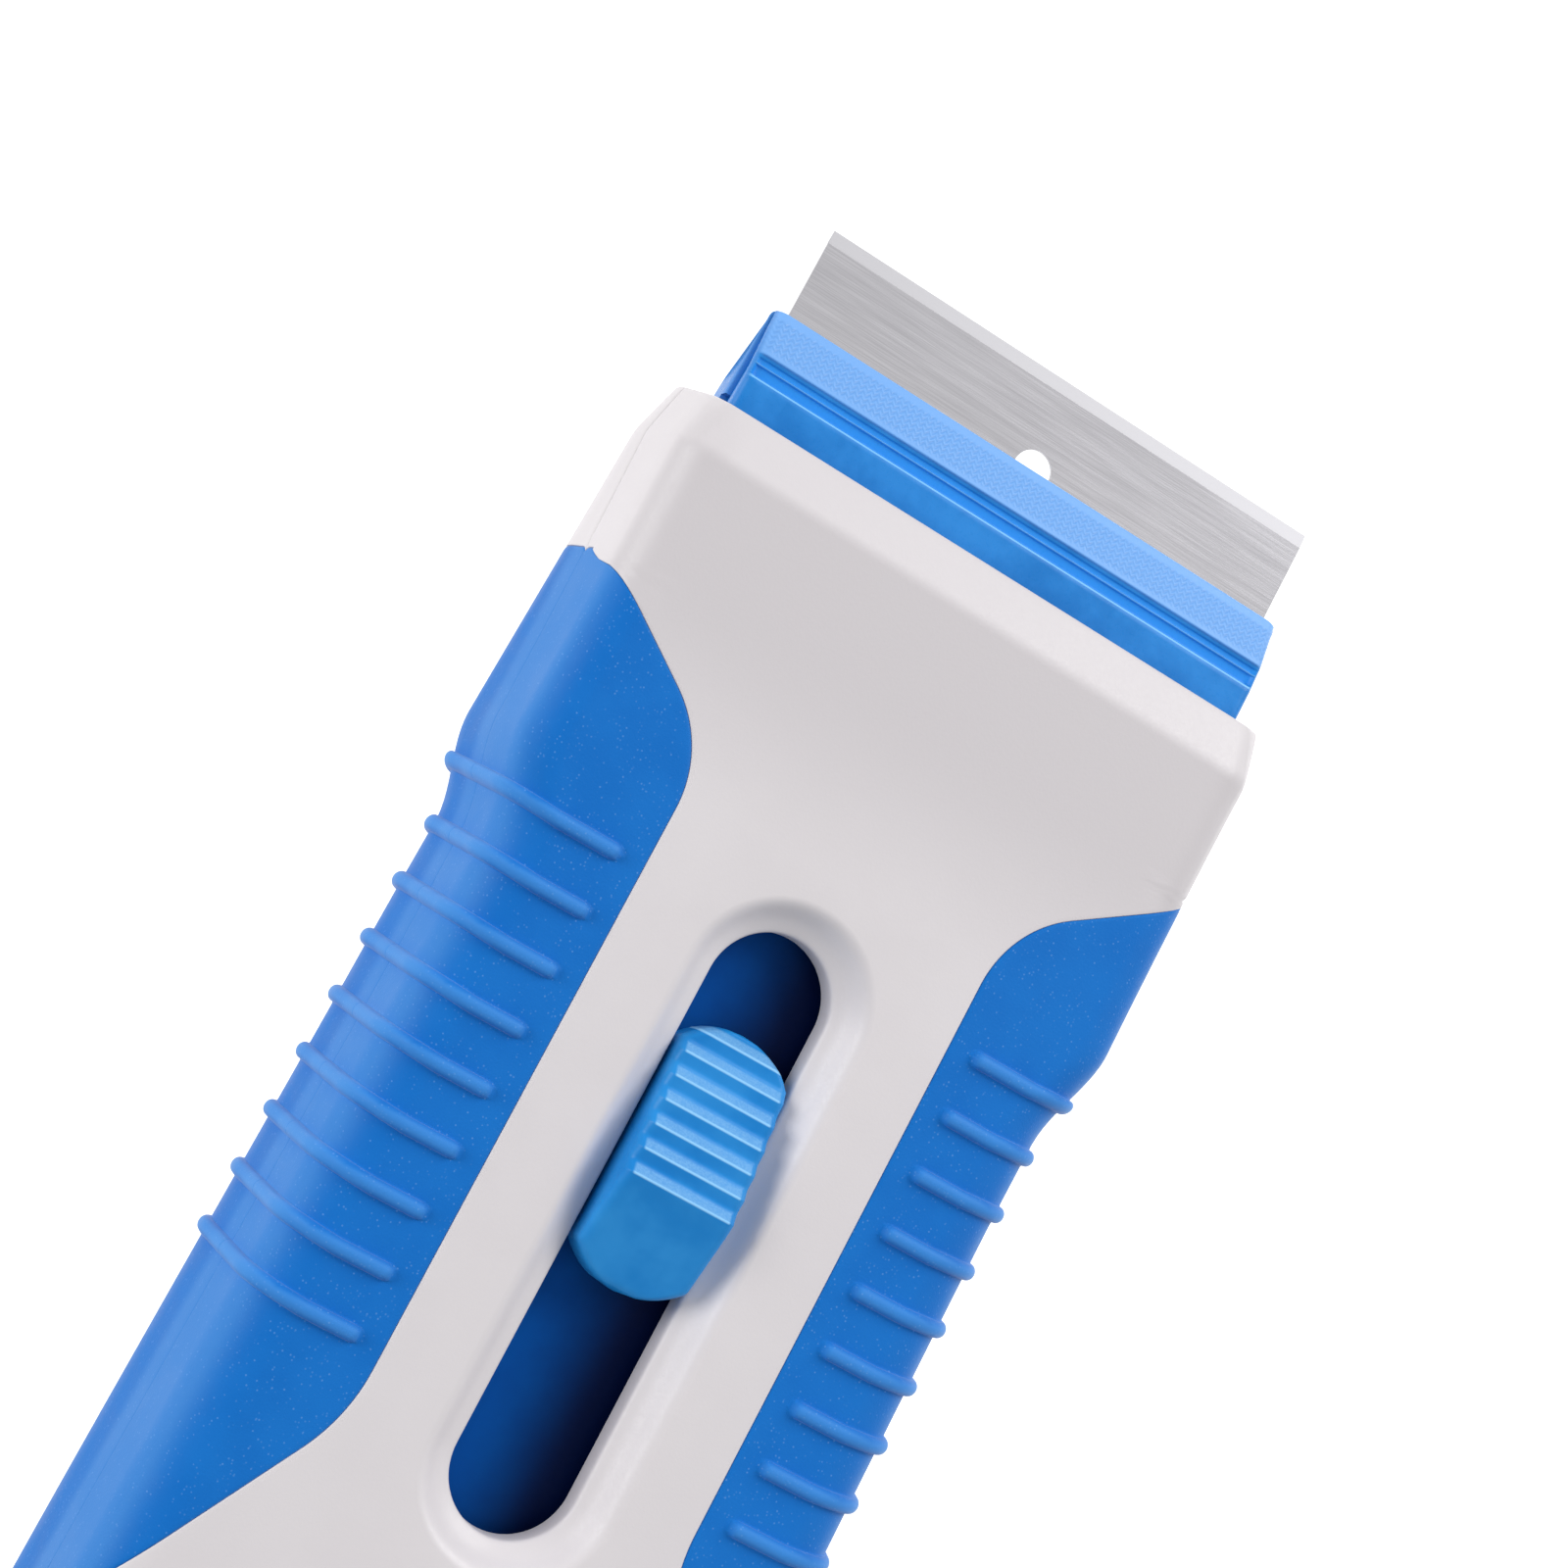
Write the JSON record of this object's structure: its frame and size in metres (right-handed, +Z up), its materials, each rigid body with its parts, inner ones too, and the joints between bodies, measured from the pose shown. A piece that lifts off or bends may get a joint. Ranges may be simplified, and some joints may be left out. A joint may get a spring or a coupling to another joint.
{
  "type": "razor blade scraper",
  "caption": "Retractable hand scraper: soft-gripped plastic handle with a thumb-driven sliding carriage and a spring-closed jaw holder for a single-edge razor blade.",
  "frame": {"origin": "middle of the handle's flat back face, on the mid-plane and half way from tail to mouth", "axes": "+X across the handle, +Y along the handle towards the blade, +Z up from the back face through the thumb button"},
  "size_m": [0.0482, 0.1263, 0.0188],
  "materials": {
    "white_plastic": "satin",
    "blue_grip": "matte",
    "holder_blue": "satin",
    "carriage_blue": "satin",
    "blade_steel": "brushed",
    "spring_steel": "satin",
    "screw_steel": "zinc plated"
  },
  "bodies": {
    "handle": {"top_shell": "white_plastic", "bottom_shell": "white_plastic", "top_left_grip": "blue_grip", "top_right_grip": "blue_grip", "bottom_left_grip": "blue_grip", "bottom_right_grip": "blue_grip", "shell_screws": "screw_steel"},
    "carriage": {"carriage": "carriage_blue", "lower_jaw": "holder_blue", "jaw_rivets": "spring_steel", "jaw_hinge_pin": "spring_steel", "jaw_spring": "spring_steel", "button_spring": "spring_steel", "detent_spring": "spring_steel", "detent_rivet": "spring_steel"},
    "upper_jaw": {"upper_jaw": "holder_blue"},
    "blade": {"razor_blade": "blade_steel"},
    "button": {"thumb_button": "holder_blue", "button_clip": "spring_steel"}
  },
  "joints": [
    {"name": "carriage_slide", "type": "slide", "parent": "handle", "child": "carriage", "axis": [0, 1, 0], "range_m": [-0.0155, 0.0055], "deforming": ["detent_spring"]},
    {"name": "jaw_open", "type": "hinge", "parent": "carriage", "child": "upper_jaw", "pos_m": [0, 0.04995, 0.0122], "axis": [1, 0, 0], "range_deg": [0, 5], "stiffness_Nm_per_rad": 0.05, "springref_deg": -17.19, "deforming": ["jaw_spring"]},
    {"name": "blade_pull", "type": "slide", "parent": "carriage", "child": "blade", "axis": [0, 1, 0], "range_m": [0, 0.02]},
    {"name": "button_press", "type": "slide", "parent": "carriage", "child": "button", "axis": [0, 0, -1], "range_m": [0, 0.0012], "stiffness_N_per_m": 300, "springref_m": -0.001, "deforming": ["button_spring"]}
  ]
}
